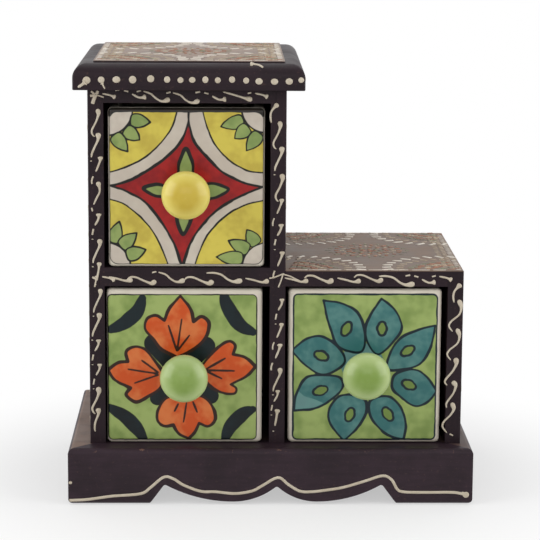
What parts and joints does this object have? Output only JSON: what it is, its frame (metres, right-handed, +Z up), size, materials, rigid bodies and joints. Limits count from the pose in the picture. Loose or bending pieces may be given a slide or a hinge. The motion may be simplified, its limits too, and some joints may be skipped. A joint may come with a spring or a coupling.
{
  "type": "spice drawer box",
  "caption": "Stepped wooden tabletop chest on a scalloped plinth, with glazed ceramic drawers that pull out by round knobs.",
  "frame": {"origin": "middle of the whole object's footprint, at floor level", "axes": "+Z up; the drawers open towards -Y; +X to the right of someone who faces the drawers"},
  "size_m": [0.178, 0.13, 0.1944],
  "materials": {
    "painted_wood": "dark aubergine paint, satin, with raised white trim",
    "back_board": "thin dark paint over board, matt",
    "cream_glaze": "glossy glaze over a painted floral pattern",
    "green_glaze": "glossy glaze over a painted floral pattern",
    "yellow_knob_glaze": "glossy glaze",
    "green_knob_glaze": "glossy glaze",
    "knob_steel": "zinc-plated steel",
    "screw_steel": "plain steel"
  },
  "bodies": {
    "case": {"plinth_front_apron": "painted_wood", "plinth_left_apron": "painted_wood", "plinth_right_apron": "painted_wood", "plinth_back_rail": "painted_wood", "tower_left_side": "painted_wood", "centre_divider": "painted_wood", "low_right_side": "painted_wood", "middle_shelf": "painted_wood", "tower_top_board": "painted_wood", "low_top_board": "painted_wood", "cap_board": "painted_wood", "floor_board": "back_board", "lower_back_panel": "back_board", "tower_back_panel": "back_board", "plinth_screws": "screw_steel", "cap_screws": "screw_steel", "lower_back_pins": "screw_steel", "tower_back_pins": "screw_steel"},
    "upper_drawer": {"upper_drawer_tub": "cream_glaze", "upper_knob": "yellow_knob_glaze", "upper_knob_stud": "knob_steel", "upper_knob_washer": "knob_steel", "upper_knob_nut": "knob_steel"},
    "lower_drawer": {"lower_drawer_tub": "green_glaze", "lower_knob": "green_knob_glaze", "lower_knob_stud": "knob_steel", "lower_knob_washer": "knob_steel", "lower_knob_nut": "knob_steel"},
    "side_drawer": {"side_drawer_tub": "green_glaze", "side_knob": "green_knob_glaze", "side_knob_stud": "knob_steel", "side_knob_washer": "knob_steel", "side_knob_nut": "knob_steel"}
  },
  "joints": [
    {"name": "upper_drawer_slide", "type": "slide", "parent": "case", "child": "upper_drawer", "axis": [0, -1, 0], "range_m": [0, 0.077]},
    {"name": "lower_drawer_slide", "type": "slide", "parent": "case", "child": "lower_drawer", "axis": [0, -1, 0], "range_m": [0, 0.077]},
    {"name": "side_drawer_slide", "type": "slide", "parent": "case", "child": "side_drawer", "axis": [0, -1, 0], "range_m": [0, 0.077]}
  ]
}
